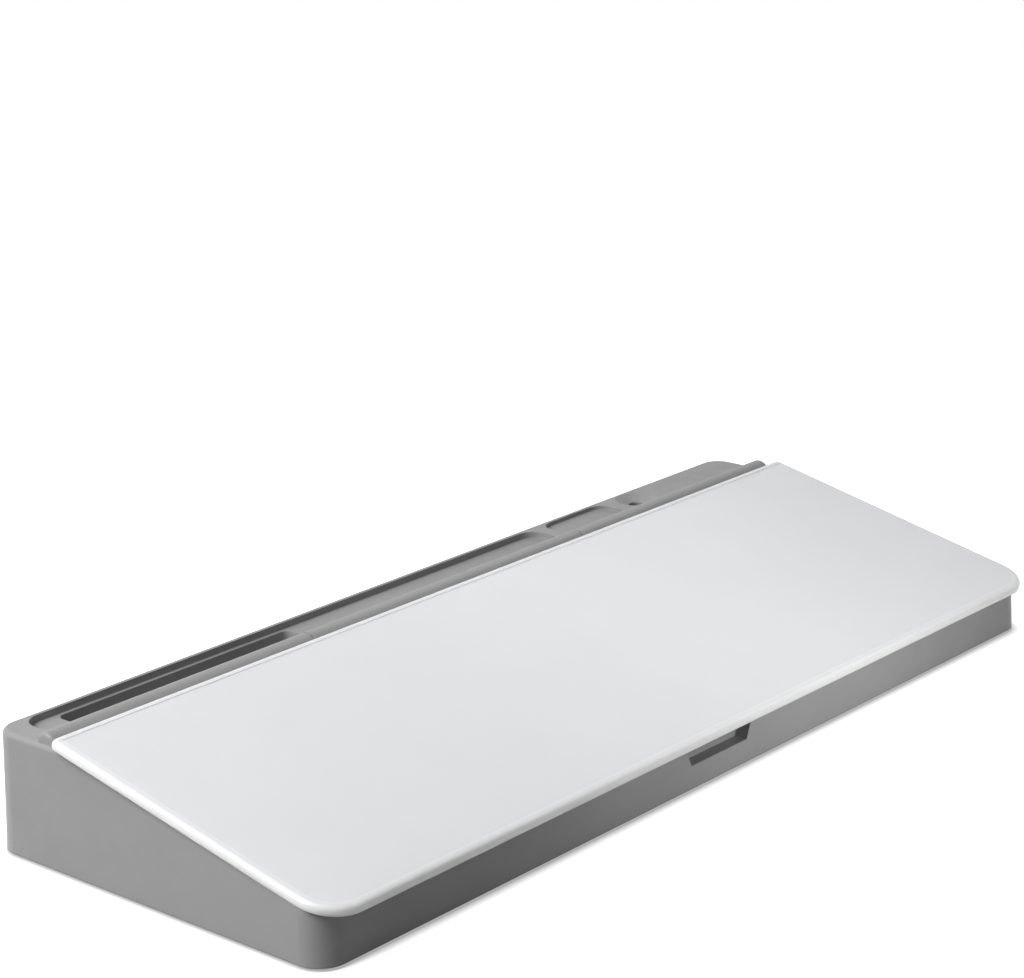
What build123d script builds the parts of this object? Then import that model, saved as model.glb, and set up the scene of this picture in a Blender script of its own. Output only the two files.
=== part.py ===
"""Desk whiteboard: a wedge-shaped storage base with a hinged glass writing lid.

Millimetres, +Z up. X runs along the length, -Y is the low front edge and +Y the
rear ledge. The origin is the centre of the bounding box, on the standing plane.
"""
from build123d import *
from math import ceil, cos, radians, sin, tan
import os

os.makedirs("parts", exist_ok=True)

# ---------------------------------------------------------------- base housing
BODY_LENGTH = 400.0
BODY_DEPTH = 155.0
BODY_CORNER_RADIUS = 10.0
BODY_DRAFT = 2.0                 # degrees, outer walls lean in as they rise
FOOT_HEIGHT = 1.0                # rubber that shows below the housing
FRONT_HEIGHT = 17.4              # rim above the housing's bottom edge at the front
SLOPE = 12.0                     # degrees, rim and lid rise towards the rear
LEDGE_HEIGHT = 42.9              # level ledge behind the lid
RIM_ROUND = 2.0                  # soft outer edge of rim and ledge
WALL = 2.5                       # outer walls
INNER_WALL = 2.2                 # tray, slot and pocket walls
HOUSING_BLANK_HEIGHT = 60.0      # taller than anything cut from it

# tray under the lid: sizes at the floor, and how far each wall leans out per mm
TRAY_FLOOR = 4.4
TRAY_END_INSET = 24.0            # tray floor from each end of the housing
TRAY_FRONT = 13.0
TRAY_REAR = 115.0
TRAY_SIDE_LEAN = 0.165
TRAY_FRONT_LEAN = 0.19
TRAY_REAR_LEAN = 0.185
TRAY_FRONT_CORNER = 3.5
TRAY_REAR_CORNER = 12.0
TRAY_FLOOR_ROUND = 3.0

# dividers standing in the tray
CROSS_WALL_X = 40.0              # left face of the wall that runs front to rear
CROSS_WALL_FRONT_HEIGHT = 18.6
CROSS_WALL_REAR_HEIGHT = 24.6
LONG_WALL_Y = 64.0               # centre of the wall that runs to the right end
LONG_WALL_HEIGHT = 26.3
DIVIDER_THICKNESS = 2.0
DIVIDER_ROUND = 0.8
DIVIDER_ROOT = 1.0               # how far the dividers reach into the floor

# stepped shelf that drops below the rim at the rear of the tray
SHELF_HEIGHT = 34.3
SHELF_END_INSET = 5.0            # from each end of the housing
SHELF_FRONT = 107.0
STEP_END_INSET = 9.0
STEP_FRONT = 86.0
SHELF_CORNER = 3.0

# finger notch in the front wall
NOTCH_BOTTOM_WIDTH = 32.0
NOTCH_TOP_WIDTH = 40.0
NOTCH_FLOOR = 8.5
NOTCH_DEPTH = 5.5

# ledge: shallow tray, phone slot, small tray and pen hole
LEDGE_TRAY_END_INSET = 11.0      # from the left end of the housing
LEDGE_TRAY_RIGHT = 74.0
LEDGE_TRAY_FRONT = 134.2
LEDGE_TRAY_REAR = 150.4
LEDGE_TRAY_DEPTH = 2.4
LEDGE_TRAY_CORNER = 7.5
SLOT_INSET = 14.0                # from the left end of the ledge tray
SLOT_LENGTH = 110.0
SLOT_WIDTH = 13.0
SLOT_DEPTH = 15.0
SLOT_CORNER = 3.5
SLOT_DRAFT = 3.0
CLIP_TRAY_LEFT = 79.0
CLIP_TRAY_RIGHT = 117.0
CLIP_TRAY_DEPTH = 1.5
CLIP_TRAY_CORNER = 6.5
PEN_HOLE_X = 131.5
PEN_HOLE_RADIUS = 3.4
PEN_HOLE_DEPTH = 24.0
PEN_DIMPLE_RADIUS = 9.0
PEN_DIMPLE_DEPTH = 2.4

# ---------------------------------------------------------------------- hinge
HINGE_BACK = 127.8               # hinge axis behind the front wall
HINGE_HEIGHT = 42.0              # hinge axis above the housing's bottom edge
BEAD_RADIUS = 4.8                # raised bead, round the hinge axis
BEAD_END_INSET = 2.6             # bead stops this far inside the housing's end
BEAD_END_ROUND = 1.6
HINGE_GAP_LENGTH = 151.0         # break in the bead that holds the lid's barrel
HINGE_GAP_FLOOR = 31.5
HINGE_GAP_REAR = 133.2
BARREL_END_PLAY = 0.5
BARREL_WALL = 1.5
BARREL_OPEN_FROM = -145.0        # degrees, cored side of the barrel
BARREL_OPEN_TO = -62.0
BARREL_RIBS = 3
SECTOR_STEP = 30.0               # degrees between the points of the cored sector's outline
BARREL_RIB_THICKNESS = 1.6
BARREL_CHEEK = 8.0
PIN_RADIUS = 1.5
PIN_LENGTH = 17.0
PIN_CHAMFER = 0.3
PIN_HOUSING_CLEARANCE = 0.02
PIN_BARREL_CLEARANCE = 0.08
PIN_TIP_PLAY = 0.5

# ----------------------------------------------------------------- glass lid
GLASS_END_OVERHANG = 0.7         # past each end of the housing
GLASS_LENGTH = 130.0
GLASS_OVERHANG = 4.6             # past the front wall, measured along the slope
GLASS_THICKNESS = 3.2
GLASS_FRONT_RADIUS = 14.5
GLASS_REAR_RADIUS = 3.2
GLASS_BEVEL = 0.5
SHEET_THICKNESS = 0.4            # steel backing that makes the board magnetic
SHEET_INSET = 2.0
SHEET_LEAST_RADIUS = 0.5
SHEET_GAP = 0.3                  # steel to rim when the lid is shut
TAPE_THICKNESS = 0.5
PLATE_WIDTH = 303.0
PLATE_LENGTH = 21.7
PLATE_THICKNESS = 2.5
PLATE_REAR_INSET = 0.9           # glass left bare behind the plate
PLATE_FRONT_CORNER = 6.0
PLATE_REAR_CORNER = 1.5
PLATE_EDGE_ROUND = 0.7
PLATE_NECK_THICKNESS = 1.8       # web between the plate and the barrel
PLATE_NECK_OVERLAP = 3.0
TAPE_INSET = 2.0

# -------------------------------------------------------- cover, screws, feet
COVER_THICKNESS = 2.0
COVER_CLEARANCE = 0.25           # round its edge
COVER_SEAT_CLEARANCE = 0.05      # under the bosses
BOSS_RADIUS = 3.6
PILOT_RADIUS = 1.2
SCREW_RADIUS = 1.5
SCREW_LENGTH = 9.0
SCREW_HEAD_RADIUS = 2.8
SCREW_HEAD_HEIGHT = 1.4
SCREW_HOLE_CLEARANCE = 0.1
FOOT_RECESS_CLEARANCE = 0.1
SCREW_DRIVE_RADIUS = 1.1
SCREW_DRIVE_DEPTH = 0.8
BOSS_SIDE_INSET = 10.0           # boss centres from the housing's ends
BOSS_FRONT = 32.0                # from the front wall
BOSS_REAR = 31.0                 # from the rear wall
BOSS_LEDGE = 11.5                # from the rear wall, under the ledge
BOSS_MIDDLE_X = 60.0
PILOT_DEPTH = 10.0
FOOT_RADIUS = 6.0
FOOT_RECESS = 0.6
FOOT_EDGE_INSET = 14.0           # foot centres from the front and rear walls
FOOT_END_INSET = 14.0
FOOT_ROUND = 0.4

# ------------------------------------------------------------ markers, eraser
MARKER_COLOURS = ["red", "blue", "green"]
MARKER_BACK = [109.4, 89.9, 70.3]      # marker axes behind the front wall
MARKER_WALL_GAP = [3.6, 6.6, 7.6]      # cap ends from the cross wall
MARKER_RADIUS = 6.2
MARKER_FLOOR_GAP = 0.4
BARREL_TUBE_LENGTH = 83.4
BARREL_TUBE_WALL = 0.9
BARREL_TUBE_ROUND = 0.3
PLUG_LENGTH = 8.4
PLUG_RADIUS = 5.3                # at the flange
PLUG_END_RADIUS = 4.7
PLUG_END_ROUND = 0.8
PLUG_FLANGE = 1.2
PLUG_FLANGE_PROUD = 0.2          # flange beyond the barrel
PLUG_SPIGOT = 6.0
PLUG_GROOVES = 10
PLUG_GROOVE_RADIUS = 0.9
NECK_LENGTH = 5.0
NECK_RADIUS = 5.0
HOLDER_LENGTH = 6.0
HOLDER_TIP_WALL = 0.8
NIB_RADIUS = 1.6
NIB_SHOWS = 3.0
NIB_TIP_ROUND = 1.35
RESERVOIR_GAP = 0.1
RESERVOIR_LENGTH = 68.0
CAP_RADIUS = 6.5
CAP_CLEARANCE = 0.3
CAP_SOCKET_LENGTH = 10.0
CAP_LENGTH = 28.5
CAP_WALL = 1.2
CAP_END_GAP = 0.3
CAP_WAIST_WIDTH = 12.6           # where the round socket has become a flat grip
CAP_WAIST_HEIGHT = 9.2
CAP_WAIST_RISE = 1.9
CAP_WAIST_FROM_SOCKET = 8.0
CAP_SECTION_FLAT = 0.1           # flat left between the rounded sides of each section
CAP_PADDLE_WIDTH = 15.0
CAP_PADDLE_HEIGHT = 4.2
CAP_PADDLE_RISE = 6.0            # middle of the paddle's end above the marker's axis
CAP_PADDLE_ROUND = 1.2
CAP_MAGNET_RADIUS = 2.0
CAP_MAGNET_HEIGHT = 1.4
CAP_MAGNET_INSET = 5.5           # from the paddle's end
CAP_MAGNET_SINK = 1.0            # top of the magnet below the paddle's highest point
MAGNET_CLEARANCE = 0.05
ERASER_WALL_GAP = 1.2            # lobes from the cross wall
ERASER_FRONT_GAP = 2.3           # lobes from the tray floor's front edge
ERASER_LENGTH = 65.0
ERASER_WIDTH = 46.0
ERASER_WAIST = 3.3               # how far each side draws in between the lobes
ERASER_LOBE_BACK = 14.0          # widest points of the lobes, from the eraser's middle lines
ERASER_LOBE_SIDE = 21.5
ERASER_LOBE_CORNER = 3.0         # how far each corner is rounded off inwards
ERASER_SHELL_HEIGHT = 11.4
ERASER_ROUND = 1.4
FELT_HEIGHT = 2.6
FELT_INSET = 0.8
ERASER_MAGNET_RADIUS = 6.0
ERASER_MAGNET_HEIGHT = 2.0

# ------------------------------------------------------------- derived places
RISE = tan(radians(SLOPE))
HALF_LENGTH = BODY_LENGTH / 2
TRAY_HALF_LENGTH = HALF_LENGTH - TRAY_END_INSET
SHELF_HALF_LENGTH = HALF_LENGTH - SHELF_END_INSET
STEP_HALF_LENGTH = HALF_LENGTH - STEP_END_INSET
LEDGE_TRAY_LEFT = LEDGE_TRAY_END_INSET - HALF_LENGTH
LEDGE_TRAY_MIDDLE = (LEDGE_TRAY_FRONT + LEDGE_TRAY_REAR) / 2
SLOT_LEFT = LEDGE_TRAY_LEFT + SLOT_INSET
STACK_BELOW_GLASS = SHEET_THICKNESS + SHEET_GAP
FRONT_Y = -(BODY_DEPTH - GLASS_OVERHANG * cos(radians(SLOPE))
            - (GLASS_THICKNESS + STACK_BELOW_GLASS) * sin(radians(SLOPE))) / 2
BOTTOM_Z = FOOT_HEIGHT
HINGE_Y = FRONT_Y + HINGE_BACK
HINGE_Z = BOTTOM_Z + HINGE_HEIGHT
GAP_HALF = HINGE_GAP_LENGTH / 2
BARREL_HALF = GAP_HALF - BARREL_END_PLAY
FAR = 4 * BODY_LENGTH            # longer than anything it cuts


def back(distance):
    """Y of a place measured back from the front wall's bottom edge."""
    return FRONT_Y + distance


def up(height):
    """Z of a place measured up from the housing's bottom edge."""
    return BOTTOM_Z + height


def rounded_bar(x0, x1, y0, y1, radius, z, height, taper=0.0):
    """Upright block with rounded corners, on the plane at z."""
    place = Location(((x0 + x1) / 2, (y0 + y1) / 2, z))
    return extrude(place * RectangleRounded(x1 - x0, y1 - y0, radius), height, taper=taper)


def box_between(x0, x1, y0, y1, z0, z1):
    """Plain block given by its faces."""
    place = Location(((x0 + x1) / 2, (y0 + y1) / 2, (z0 + z1) / 2))
    return place * Box(x1 - x0, y1 - y0, z1 - z0)


def rod_x(x0, x1, radius, y=0.0, z=0.0):
    """Round bar along X."""
    place = Location(((x0 + x1) / 2, y, z), (0, 90, 0))
    return place * Cylinder(radius, x1 - x0)


def cone_x(x0, x1, radius0, radius1):
    """Round taper along the X axis."""
    return Location(((x0 + x1) / 2, 0, 0), (0, 90, 0)) * Cone(radius0, radius1, x1 - x0)


def rod_z(x, distance, low, high, radius):
    """Upright round bar between two heights above the housing's bottom edge."""
    return Location((x, back(distance), up((low + high) / 2))) * Cylinder(radius, high - low)


def two_corner_outline(width, depth, front_radius, rear_radius):
    """Rectangle with one corner radius at the front and another at the rear."""
    outline = Rectangle(width, depth)
    outline = fillet(outline.vertices().group_by(Axis.Y)[0], front_radius)
    return fillet(outline.vertices().group_by(Axis.Y)[-1], rear_radius)


def profile_block(points, half_length):
    """Side profile in (Y, Z), drawn out along X about the middle."""
    face = make_face(Polyline(*[(0, y, z) for y, z in points], close=True))
    return extrude(face, half_length, dir=(1, 0, 0), both=True)


def lid_layer(half, front, rear, low, high, front_radius, rear_radius):
    """Flat layer on the lid's plane: front and rear run up the slope, low and high off it."""
    outline = two_corner_outline(2 * half, rear - front, front_radius, rear_radius)
    return LID_PLANE * extrude(Location((0, (front + rear) / 2, low)) * outline, high - low)


LID_PLANE = Location((0, FRONT_Y, up(FRONT_HEIGHT)), (SLOPE, 0, 0))
GLASS_LOW = STACK_BELOW_GLASS
GLASS_HIGH = GLASS_LOW + GLASS_THICKNESS
GLASS_FRONT_U = -GLASS_OVERHANG
GLASS_REAR_U = GLASS_FRONT_U + GLASS_LENGTH
HINGE_U = HINGE_BACK * cos(radians(SLOPE)) + (HINGE_HEIGHT - FRONT_HEIGHT) * sin(radians(SLOPE))
PLATE_REAR_U = GLASS_REAR_U - PLATE_REAR_INSET
PLATE_FRONT_U = PLATE_REAR_U - PLATE_LENGTH
PLATE_HIGH = SHEET_GAP - TAPE_THICKNESS
PLATE_LOW = PLATE_HIGH - PLATE_THICKNESS


# ---------------------------------------------------------------- base housing
def wedge(shrink=0.0):
    """Outer block of the housing, or the same block with every wall moved in."""
    half = HALF_LENGTH - shrink
    blank = rounded_bar(-half, half, back(shrink), back(BODY_DEPTH - shrink),
                        BODY_CORNER_RADIUS - shrink, BOTTOM_Z, HOUSING_BLANK_HEIGHT,
                        taper=BODY_DRAFT)
    drop = shrink / cos(radians(SLOPE))
    meet = (LEDGE_HEIGHT - shrink - FRONT_HEIGHT + drop) / RISE
    profile = [(back(-FAR), up(-FAR * RISE + FRONT_HEIGHT - drop) - FAR),
               (back(-FAR), up(-FAR * RISE + FRONT_HEIGHT - drop)),
               (back(meet), up(LEDGE_HEIGHT - shrink)),
               (back(FAR), up(LEDGE_HEIGHT - shrink)),
               (back(FAR), up(-FAR * RISE) - FAR)]
    return blank & profile_block(profile, FAR)


def tray_section(height, grow):
    """Tray's inside outline at a height, or the outline of its walls."""
    lean = height - TRAY_FLOOR
    half = TRAY_HALF_LENGTH + lean * TRAY_SIDE_LEAN + grow
    front = back(TRAY_FRONT - lean * TRAY_FRONT_LEAN - grow)
    rear = back(TRAY_REAR + lean * TRAY_REAR_LEAN + grow)
    outline = two_corner_outline(2 * half, rear - front, TRAY_FRONT_CORNER + grow,
                                 TRAY_REAR_CORNER + grow)
    return Location((0, (front + rear) / 2, up(height))) * outline


def tray_void(grow=0.0):
    """Space inside the tray, or the block of that space plus its walls."""
    void = loft([tray_section(TRAY_FLOOR - grow, grow), tray_section(HOUSING_BLANK_HEIGHT, grow)])
    return fillet(void.faces().sort_by(Axis.Z)[0].edges(), TRAY_FLOOR_ROUND + grow)


def shelf_void(grow=0.0):
    """Stepped drop in the rim round the tray's rear corners."""
    top = HOUSING_BLANK_HEIGHT
    base = up(SHELF_HEIGHT - grow)
    bead_face = HINGE_BACK - BEAD_RADIUS
    wide = rounded_bar(-SHELF_HALF_LENGTH - grow, SHELF_HALF_LENGTH + grow,
                       back(SHELF_FRONT - grow), back(bead_face + grow),
                       SHELF_CORNER, base, top)
    narrow = rounded_bar(-STEP_HALF_LENGTH - grow, STEP_HALF_LENGTH + grow,
                         back(STEP_FRONT - grow), back(bead_face + grow),
                         SHELF_CORNER, base, top)
    square_rear = box_between(-SHELF_HALF_LENGTH - grow, SHELF_HALF_LENGTH + grow,
                              back(bead_face - SHELF_CORNER), back(bead_face + grow),
                              base, base + top)
    return wide + narrow + square_rear


def slot_void(grow=0.0):
    """Deep slot that a phone or tablet stands in."""
    return rounded_bar(SLOT_LEFT - grow, SLOT_LEFT + SLOT_LENGTH + grow,
                       back(LEDGE_TRAY_MIDDLE - SLOT_WIDTH / 2 - grow),
                       back(LEDGE_TRAY_MIDDLE + SLOT_WIDTH / 2 + grow),
                       SLOT_CORNER + grow, up(LEDGE_HEIGHT + RIM_ROUND),
                       -(SLOT_DEPTH + RIM_ROUND + grow), taper=SLOT_DRAFT)


def pocket_void(left, right, depth, corner, grow=0.0):
    """Shallow tray sunk in the ledge."""
    return rounded_bar(left - grow, right + grow, back(LEDGE_TRAY_FRONT - grow),
                       back(LEDGE_TRAY_REAR + grow), corner + grow,
                       up(LEDGE_HEIGHT - depth - grow), depth + grow + RIM_ROUND)


def pen_void(grow=0.0):
    """Dimple that leads a pen into its blind hole."""
    dimple = Cone(PEN_HOLE_RADIUS + grow, PEN_DIMPLE_RADIUS + grow, PEN_DIMPLE_DEPTH)
    place = (PEN_HOLE_X, back(LEDGE_TRAY_MIDDLE), up(LEDGE_HEIGHT - PEN_DIMPLE_DEPTH / 2 - grow))
    hole = rod_z(PEN_HOLE_X, LEDGE_TRAY_MIDDLE, LEDGE_HEIGHT - PEN_HOLE_DEPTH - grow,
                 LEDGE_HEIGHT, PEN_HOLE_RADIUS + grow)
    return Location(place) * dimple + hole


def hinge_gap_void(grow=0.0):
    """Break in the bead and rail that the lid's barrel turns in."""
    return box_between(-GAP_HALF - grow, GAP_HALF + grow,
                       back(HINGE_BACK - BEAD_RADIUS - INNER_WALL - grow - 2 * BEAD_RADIUS),
                       back(HINGE_GAP_REAR + grow),
                       up(HINGE_GAP_FLOOR - grow), up(HOUSING_BLANK_HEIGHT))


def notch_void(grow=0.0):
    """Finger notch, wider at the top, cut back from the front wall."""
    low = NOTCH_BOTTOM_WIDTH / 2 + grow
    spread = (NOTCH_TOP_WIDTH - NOTCH_BOTTOM_WIDTH) / 2 / (FRONT_HEIGHT - NOTCH_FLOOR)
    rise = HOUSING_BLANK_HEIGHT - NOTCH_FLOOR + grow
    high = low + spread * rise
    z0 = up(NOTCH_FLOOR - grow)
    outline = Polyline((-low, 0, z0), (low, 0, z0), (high, 0, z0 + rise),
                       (-high, 0, z0 + rise), close=True)
    solid = extrude(make_face(outline), FAR, dir=(0, 1, 0))
    return Pos(0, back(NOTCH_DEPTH + grow) - FAR, 0) * solid


def bead():
    """Raised round bead along the hinge line, with soft ends."""
    half = HALF_LENGTH - BEAD_END_INSET
    bar = rod_x(-half, half, BEAD_RADIUS, HINGE_Y, HINGE_Z)
    bar = fillet(bar.edges().filter_by(GeomType.CIRCLE), BEAD_END_ROUND)
    return bar & box_between(-FAR, FAR, back(0), back(BODY_DEPTH),
                             up(LEDGE_HEIGHT - BEAD_RADIUS), up(HOUSING_BLANK_HEIGHT))


def boss_places():
    """Screw bosses as (X, distance back) pairs."""
    side = HALF_LENGTH - BOSS_SIDE_INSET
    rows = [(side, BOSS_FRONT), (side, BODY_DEPTH - BOSS_REAR),
            (BOSS_MIDDLE_X, BODY_DEPTH - BOSS_LEDGE)]
    return [(sign * x, distance) for x, distance in rows for sign in (-1, 1)]


def dividers():
    """Low wall across the tray and the wall that splits its right end."""
    span = TRAY_REAR + TRAY_FRONT
    fall = (CROSS_WALL_REAR_HEIGHT - CROSS_WALL_FRONT_HEIGHT) / (TRAY_REAR - TRAY_FRONT)
    low = CROSS_WALL_FRONT_HEIGHT - fall * TRAY_FRONT
    root = up(TRAY_FLOOR - DIVIDER_ROOT)
    outline = [(back(0), root), (back(span), root),
               (back(span), up(low + fall * span)), (back(0), up(low))]
    middle = CROSS_WALL_X + DIVIDER_THICKNESS / 2
    cross = Pos(middle, 0, 0) * profile_block(outline, DIVIDER_THICKNESS / 2)
    long_edges = cross.faces().sort_by(Axis.Z)[-1].edges().filter_by(
        lambda edge: edge.length > span / 2)
    cross = fillet(long_edges, DIVIDER_ROUND)
    split = box_between(middle, HALF_LENGTH, back(LONG_WALL_Y - DIVIDER_THICKNESS / 2),
                        back(LONG_WALL_Y + DIVIDER_THICKNESS / 2), root, up(LONG_WALL_HEIGHT))
    split = fillet(split.faces().sort_by(Axis.Z)[-1].edges().filter_by(Axis.X), DIVIDER_ROUND)
    return (cross + split) & tray_void(INNER_WALL / 2)


def housing_core():
    """Hollow under the rims and the ledge, open at the bottom."""
    half = HALF_LENGTH - WALL
    core = wedge(WALL)
    core += rounded_bar(-half, half, back(WALL), back(BODY_DEPTH - WALL),
                        BODY_CORNER_RADIUS - WALL, BOTTOM_Z - COVER_THICKNESS,
                        2 * COVER_THICKNESS)
    for void in (tray_void, shelf_void, slot_void, pen_void, hinge_gap_void, notch_void):
        core -= void(INNER_WALL)
    core -= pocket_void(LEDGE_TRAY_LEFT, LEDGE_TRAY_RIGHT, LEDGE_TRAY_DEPTH,
                        LEDGE_TRAY_CORNER, INNER_WALL)
    for x, distance in boss_places():
        core -= rod_z(x, distance, COVER_THICKNESS, HOUSING_BLANK_HEIGHT, BOSS_RADIUS)
    return core


def is_top_outline(edge):
    """Outer edge of the rim or the ledge, but not a corner line or the crease between them."""
    box = edge.bounding_box()
    climbs = box.size.Z > box.size.X + box.size.Y
    inside = abs(edge.center().Y - back(BODY_DEPTH / 2)) < BODY_DEPTH / 3
    crease = inside and box.size.X > HALF_LENGTH
    return box.min.Z > up(FRONT_HEIGHT - RIM_ROUND) and not climbs and not crease


def pin_bores(clearance):
    """Blind holes for the two hinge pins."""
    reach = PIN_LENGTH / 2 + PIN_TIP_PLAY
    return [rod_x(side * GAP_HALF - reach, side * GAP_HALF + reach, PIN_RADIUS + clearance,
                  HINGE_Y, HINGE_Z) for side in (-1, 1)]


def base_housing():
    body = wedge()
    body = fillet([edge for edge in body.edges() if is_top_outline(edge)], RIM_ROUND) + bead()
    body -= shelf_void()
    body -= tray_void()
    body += dividers()
    body -= hinge_gap_void()
    body -= notch_void()
    body -= pocket_void(LEDGE_TRAY_LEFT, LEDGE_TRAY_RIGHT, LEDGE_TRAY_DEPTH, LEDGE_TRAY_CORNER)
    body -= pocket_void(CLIP_TRAY_LEFT, CLIP_TRAY_RIGHT, CLIP_TRAY_DEPTH, CLIP_TRAY_CORNER)
    body -= slot_void()
    body -= pen_void()
    body -= housing_core()
    for bore in pin_bores(PIN_HOUSING_CLEARANCE):
        body -= bore
    for x, distance in boss_places():
        body -= rod_z(x, distance, COVER_THICKNESS, COVER_THICKNESS + PILOT_DEPTH, PILOT_RADIUS)
    return body


# -------------------------------------------------------------- hinge and lid
def hinge_pins():
    """Short steel pins, half in the bead and half in the barrel's cheeks."""
    pin = rod_x(-PIN_LENGTH / 2, PIN_LENGTH / 2, PIN_RADIUS, HINGE_Y, HINGE_Z)
    pin = chamfer(pin.edges().filter_by(GeomType.CIRCLE), PIN_CHAMFER)
    return [Pos(side * GAP_HALF, 0, 0) * pin for side in (-1, 1)]


def wedge_sector(start, end, radius, half_length):
    """Slice of a disc about the hinge axis, between two angles from +Y, drawn out along X."""
    steps = ceil((end - start) / SECTOR_STEP)
    angles = [radians(start + (end - start) * step / steps) for step in range(steps + 1)]
    rim = [(HINGE_Y + radius * cos(angle), HINGE_Z + radius * sin(angle)) for angle in angles]
    return profile_block([(HINGE_Y, HINGE_Z)] + rim, half_length)


def hinge_barrel():
    """Barrel cored from below: a round shell with ribs and solid cheeks for the pins."""
    shell = rod_x(-BARREL_HALF, BARREL_HALF, BEAD_RADIUS, HINGE_Y, HINGE_Z)
    core_half = BARREL_HALF - BARREL_CHEEK
    core = rod_x(-core_half, core_half, BEAD_RADIUS - BARREL_WALL, HINGE_Y, HINGE_Z)
    core += wedge_sector(BARREL_OPEN_FROM, BARREL_OPEN_TO, 2 * BEAD_RADIUS, core_half)
    pitch = 2 * BARREL_HALF / (BARREL_RIBS + 1)
    for rib in range(BARREL_RIBS):
        x = -BARREL_HALF + pitch * (rib + 1)
        core -= box_between(x - BARREL_RIB_THICKNESS / 2, x + BARREL_RIB_THICKNESS / 2,
                            back(0), back(BODY_DEPTH), up(0), up(HOUSING_BLANK_HEIGHT))
    barrel = shell - core
    for bore in pin_bores(PIN_BARREL_CLEARANCE):
        barrel -= bore
    return barrel


def hinge_plate():
    """Plate bonded under the glass, with the neck and barrel that hang the lid."""
    plate = lid_layer(PLATE_WIDTH / 2, PLATE_FRONT_U, PLATE_REAR_U, PLATE_LOW, PLATE_HIGH,
                      PLATE_FRONT_CORNER, PLATE_REAR_CORNER)
    broad = plate.faces().sort_by(SortBy.AREA)[-2:]
    plate = fillet(broad.sort_by(Axis.Z)[0].edges(), PLATE_EDGE_ROUND)
    neck_rear = HINGE_U - BEAD_RADIUS + BARREL_WALL
    neck = lid_layer(BARREL_HALF, PLATE_REAR_U - PLATE_NECK_OVERLAP, neck_rear,
                     PLATE_HIGH - PLATE_NECK_THICKNESS, PLATE_HIGH, PLATE_EDGE_ROUND,
                     PLATE_EDGE_ROUND)
    return plate + neck + hinge_barrel()


def adhesive_tape():
    """Foam tape between the hinge plate and the steel backing."""
    corner = PLATE_FRONT_CORNER - TAPE_INSET
    return lid_layer(PLATE_WIDTH / 2 - TAPE_INSET, PLATE_FRONT_U + TAPE_INSET,
                     PLATE_REAR_U - TAPE_INSET, PLATE_HIGH, SHEET_GAP, corner, corner)


def board_layer(inset, low, high):
    """Layer of the board, with its large front corners and small rear corners."""
    rear_radius = max(GLASS_REAR_RADIUS - inset, SHEET_LEAST_RADIUS)
    return lid_layer(HALF_LENGTH + GLASS_END_OVERHANG - inset, GLASS_FRONT_U + inset,
                     GLASS_REAR_U - inset, low, high, GLASS_FRONT_RADIUS - inset, rear_radius)


def glass_panel():
    glass = board_layer(0.0, GLASS_LOW, GLASS_HIGH)
    broad = glass.faces().sort_by(SortBy.AREA)[-2:]
    return chamfer([edge for face in broad for edge in face.edges()], GLASS_BEVEL)


def steel_sheet():
    return board_layer(SHEET_INSET, SHEET_GAP, GLASS_LOW)


# ---------------------------------------------------------- cover, screws, feet
def foot_places():
    """Rubber feet as (X, distance back) pairs."""
    side = HALF_LENGTH - FOOT_END_INSET
    rows = (FOOT_EDGE_INSET, BODY_DEPTH - FOOT_EDGE_INSET)
    return [(x, distance) for distance in rows for x in (-side, 0, side)]


def countersink(x, distance, grow=0.0):
    """Cone of a flat screw head, flush with the housing's bottom edge."""
    cone = Cone(SCREW_HEAD_RADIUS + grow, SCREW_RADIUS + grow, SCREW_HEAD_HEIGHT)
    return Location((x, back(distance), up(SCREW_HEAD_HEIGHT / 2))) * cone


def bottom_cover():
    inset = WALL + COVER_CLEARANCE
    half = HALF_LENGTH - inset
    cover = rounded_bar(-half, half, back(inset), back(BODY_DEPTH - inset),
                        BODY_CORNER_RADIUS - inset, BOTTOM_Z,
                        COVER_THICKNESS - COVER_SEAT_CLEARANCE, taper=BODY_DRAFT)
    for x, distance in foot_places():
        cover -= rod_z(x, distance, 0, FOOT_RECESS, FOOT_RADIUS + FOOT_RECESS_CLEARANCE)
    for x, distance in boss_places():
        cover -= rod_z(x, distance, 0, COVER_THICKNESS, SCREW_RADIUS + SCREW_HOLE_CLEARANCE)
        cover -= countersink(x, distance, SCREW_HOLE_CLEARANCE)
    return cover


def cover_screws():
    screws = []
    for x, distance in boss_places():
        shank = rod_z(x, distance, SCREW_HEAD_HEIGHT / 2, COVER_THICKNESS, SCREW_RADIUS)
        thread = rod_z(x, distance, COVER_THICKNESS, SCREW_LENGTH, PILOT_RADIUS)
        drive = Location((x, back(distance), up(0))) * extrude(
            RegularPolygon(SCREW_DRIVE_RADIUS, 6), SCREW_DRIVE_DEPTH)
        screws.append(countersink(x, distance) + shank + thread - drive)
    return screws


def rubber_feet():
    feet = []
    for x, distance in foot_places():
        foot = rod_z(x, distance, -FOOT_HEIGHT, FOOT_RECESS, FOOT_RADIUS)
        feet.append(fillet(foot.edges().sort_by(Axis.Z)[0], FOOT_ROUND))
    return feet


# ------------------------------------------------------------ markers, eraser
# Marker pieces are modelled along X, with the tail of the barrel at x = 0.
SHOULDER = BARREL_TUBE_LENGTH
NECK_END = SHOULDER + NECK_LENGTH
HOLDER_END = NECK_END + HOLDER_LENGTH
RESERVOIR_END = SHOULDER + NECK_LENGTH / 2
NECK_BORE = NECK_RADIUS - BARREL_TUBE_WALL
TUBE_BORE = MARKER_RADIUS - BARREL_TUBE_WALL
HOLDER_TIP = NIB_RADIUS + HOLDER_TIP_WALL
CAP_START = SHOULDER + CAP_END_GAP


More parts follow.
